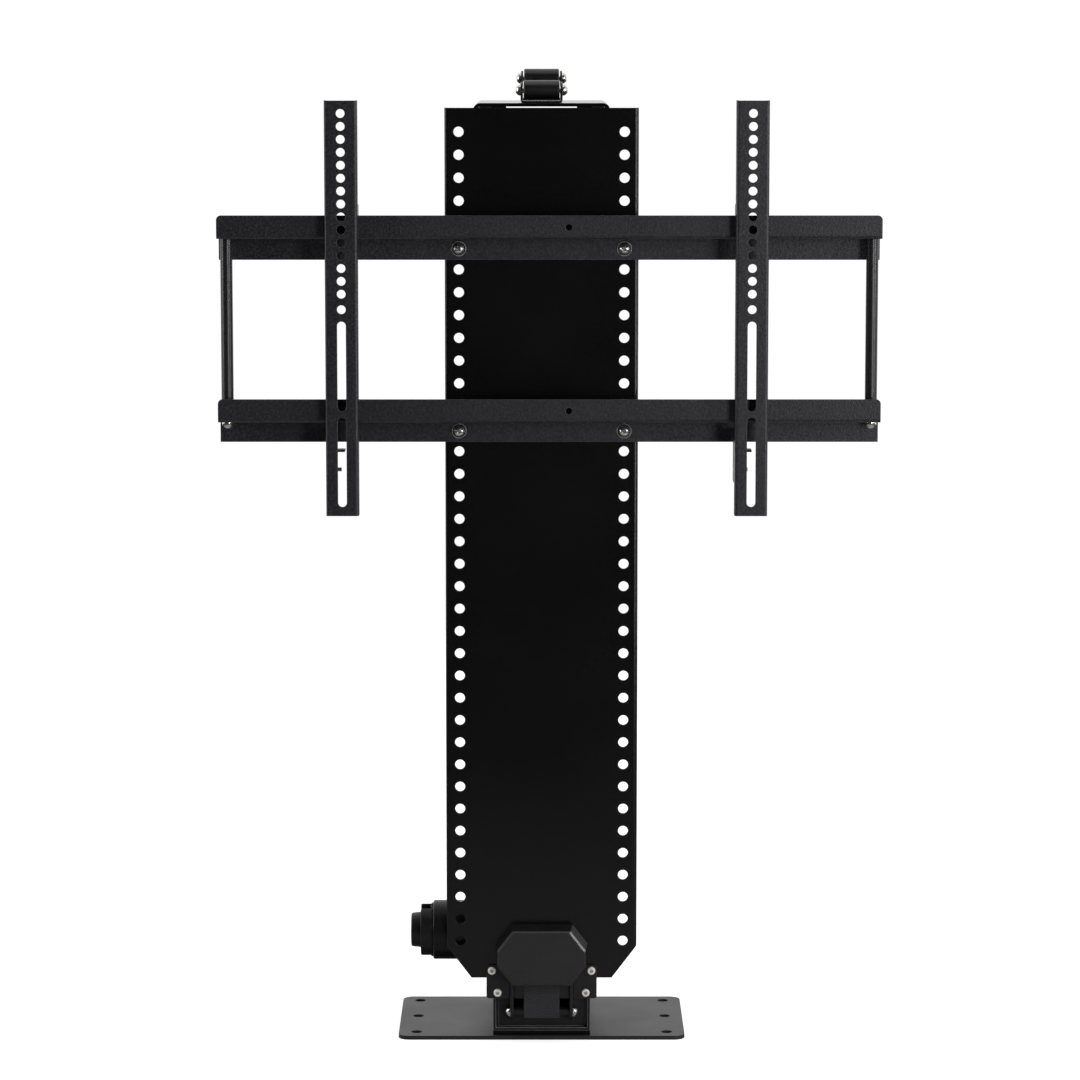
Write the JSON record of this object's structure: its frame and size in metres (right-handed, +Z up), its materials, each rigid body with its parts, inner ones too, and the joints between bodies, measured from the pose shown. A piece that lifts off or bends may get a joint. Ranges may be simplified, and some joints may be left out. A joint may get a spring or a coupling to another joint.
{
  "type": "tv lift mechanism",
  "caption": "Motorised column lift for a television: a tall perforated carriage with cross rails and slotted arms rises on telescopic slides, drawn by a belt.",
  "frame": {"origin": "centre of the base plate's underside", "axes": "+Z up along the lift, +X to the right seen from the front, -Y out of the front plate towards the television"},
  "size_m": [0.65, 0.2085, 0.972],
  "materials": {
    "sheet_black": "satin black powder coat",
    "base_coat": "satin black powder coat",
    "coat_black": "fine textured black powder coat",
    "motor_body": "satin black",
    "plastic_black": "fine moulded texture",
    "roller_black": "smooth",
    "webbing": "woven",
    "nickel": "nickel plated",
    "zinc_steel": "zinc plated",
    "bronze": "sintered"
  },
  "bodies": {
    "base": {"base_plate": "base_coat", "foot_spacer": "sheet_black", "foot": "sheet_black", "foot_bolts": "zinc_steel", "column": "sheet_black", "slide_outer_left": "zinc_steel", "slide_outer_right": "zinc_steel", "motor_plate": "sheet_black", "motor_screws": "zinc_steel", "motor_head": "motor_body", "motor_collar": "plastic_black", "motor_cap": "plastic_black", "idler_bush": "bronze", "pulley_pin": "zinc_steel", "pulley_spacers": "zinc_steel", "belt_rear_run": "webbing", "belt_front_run": "webbing"},
    "carriage": {"front_plate": "sheet_black", "side_channel_left": "sheet_black", "side_channel_right": "sheet_black", "slide_inner_left": "zinc_steel", "slide_inner_right": "zinc_steel", "top_plate": "sheet_black", "belt_cover": "plastic_black", "anchor_plate": "coat_black", "anchor_screws": "nickel", "pin_bracket": "coat_black", "anchor_pin": "coat_black", "anchor_pin_bolts": "nickel", "belt_end": "webbing", "belt_clamp": "zinc_steel", "rail_upper": "coat_black", "rail_lower": "coat_black", "rail_bolts": "nickel", "rail_washers": "nickel", "rail_nuts": "zinc_steel", "tie_rods": "coat_black", "tie_rod_bolts": "nickel", "lid_bracket_front": "coat_black", "lid_bracket_rear": "coat_black", "lid_axle_bolts": "nickel"},
    "mid_slides": {"slide_mid_left": "zinc_steel", "slide_mid_right": "zinc_steel"},
    "outer_cages": {"ball_cage_outer_left": "zinc_steel", "ball_cage_outer_right": "zinc_steel"},
    "inner_cages": {"ball_cage_inner_left": "zinc_steel", "ball_cage_inner_right": "zinc_steel"},
    "drum": {"drum_shaft": "zinc_steel", "drum_tube": "zinc_steel", "drum_belt": "webbing"},
    "top_pulley": {"top_pulley": "plastic_black"},
    "lid_roller_front": {"lid_roller_front": "roller_black"},
    "lid_roller_rear": {"lid_roller_rear": "roller_black"},
    "arm_left": {"arm_left": "coat_black", "lock_tab_left": "coat_black", "lock_screw_left": "zinc_steel"},
    "arm_right": {"arm_right": "coat_black", "lock_tab_right": "coat_black", "lock_screw_right": "zinc_steel"}
  },
  "joints": [
    {"name": "lift", "type": "slide", "parent": "base", "child": "carriage", "axis": [0, 0, 1], "range_m": [0, 0.7], "deforming": ["belt_front_run"]},
    {"name": "mid_slide", "type": "slide", "parent": "base", "child": "mid_slides", "axis": [0, 0, 1], "range_m": [0, 0.35]},
    {"name": "outer_cage", "type": "slide", "parent": "base", "child": "outer_cages", "axis": [0, 0, 1], "range_m": [0, 0.175]},
    {"name": "inner_cage", "type": "slide", "parent": "base", "child": "inner_cages", "axis": [0, 0, 1], "range_m": [0, 0.525]},
    {"name": "drum_spin", "type": "hinge", "parent": "base", "child": "drum", "pos_m": [0, -0.043, 0.105], "axis": [1, 0, 0], "continuous": true},
    {"name": "pulley_spin", "type": "hinge", "parent": "base", "child": "top_pulley", "pos_m": [0, -0.05175, 0.89], "axis": [1, 0, 0], "continuous": true},
    {"name": "lid_roller_front_spin", "type": "hinge", "parent": "carriage", "child": "lid_roller_front", "pos_m": [0, -0.06, 0.9525], "axis": [1, 0, 0], "continuous": true},
    {"name": "lid_roller_rear_spin", "type": "hinge", "parent": "carriage", "child": "lid_roller_rear", "pos_m": [0, 0.06, 0.9625], "axis": [1, 0, 0], "continuous": true},
    {"name": "arm_left_slide", "type": "slide", "parent": "carriage", "child": "arm_left", "axis": [1, 0, 0], "range_m": [-0.1, 0.1]},
    {"name": "arm_right_slide", "type": "slide", "parent": "carriage", "child": "arm_right", "axis": [1, 0, 0], "range_m": [-0.1, 0.1]}
  ],
  "couplings": [
    {"joint": "mid_slide", "follows": "lift", "ratio": 0.5},
    {"joint": "outer_cage", "follows": "lift", "ratio": 0.25},
    {"joint": "inner_cage", "follows": "lift", "ratio": 0.75},
    {"joint": "drum_spin", "follows": "lift", "rad_per_m": -57.143},
    {"joint": "pulley_spin", "follows": "lift", "rad_per_m": -48.193}
  ]
}
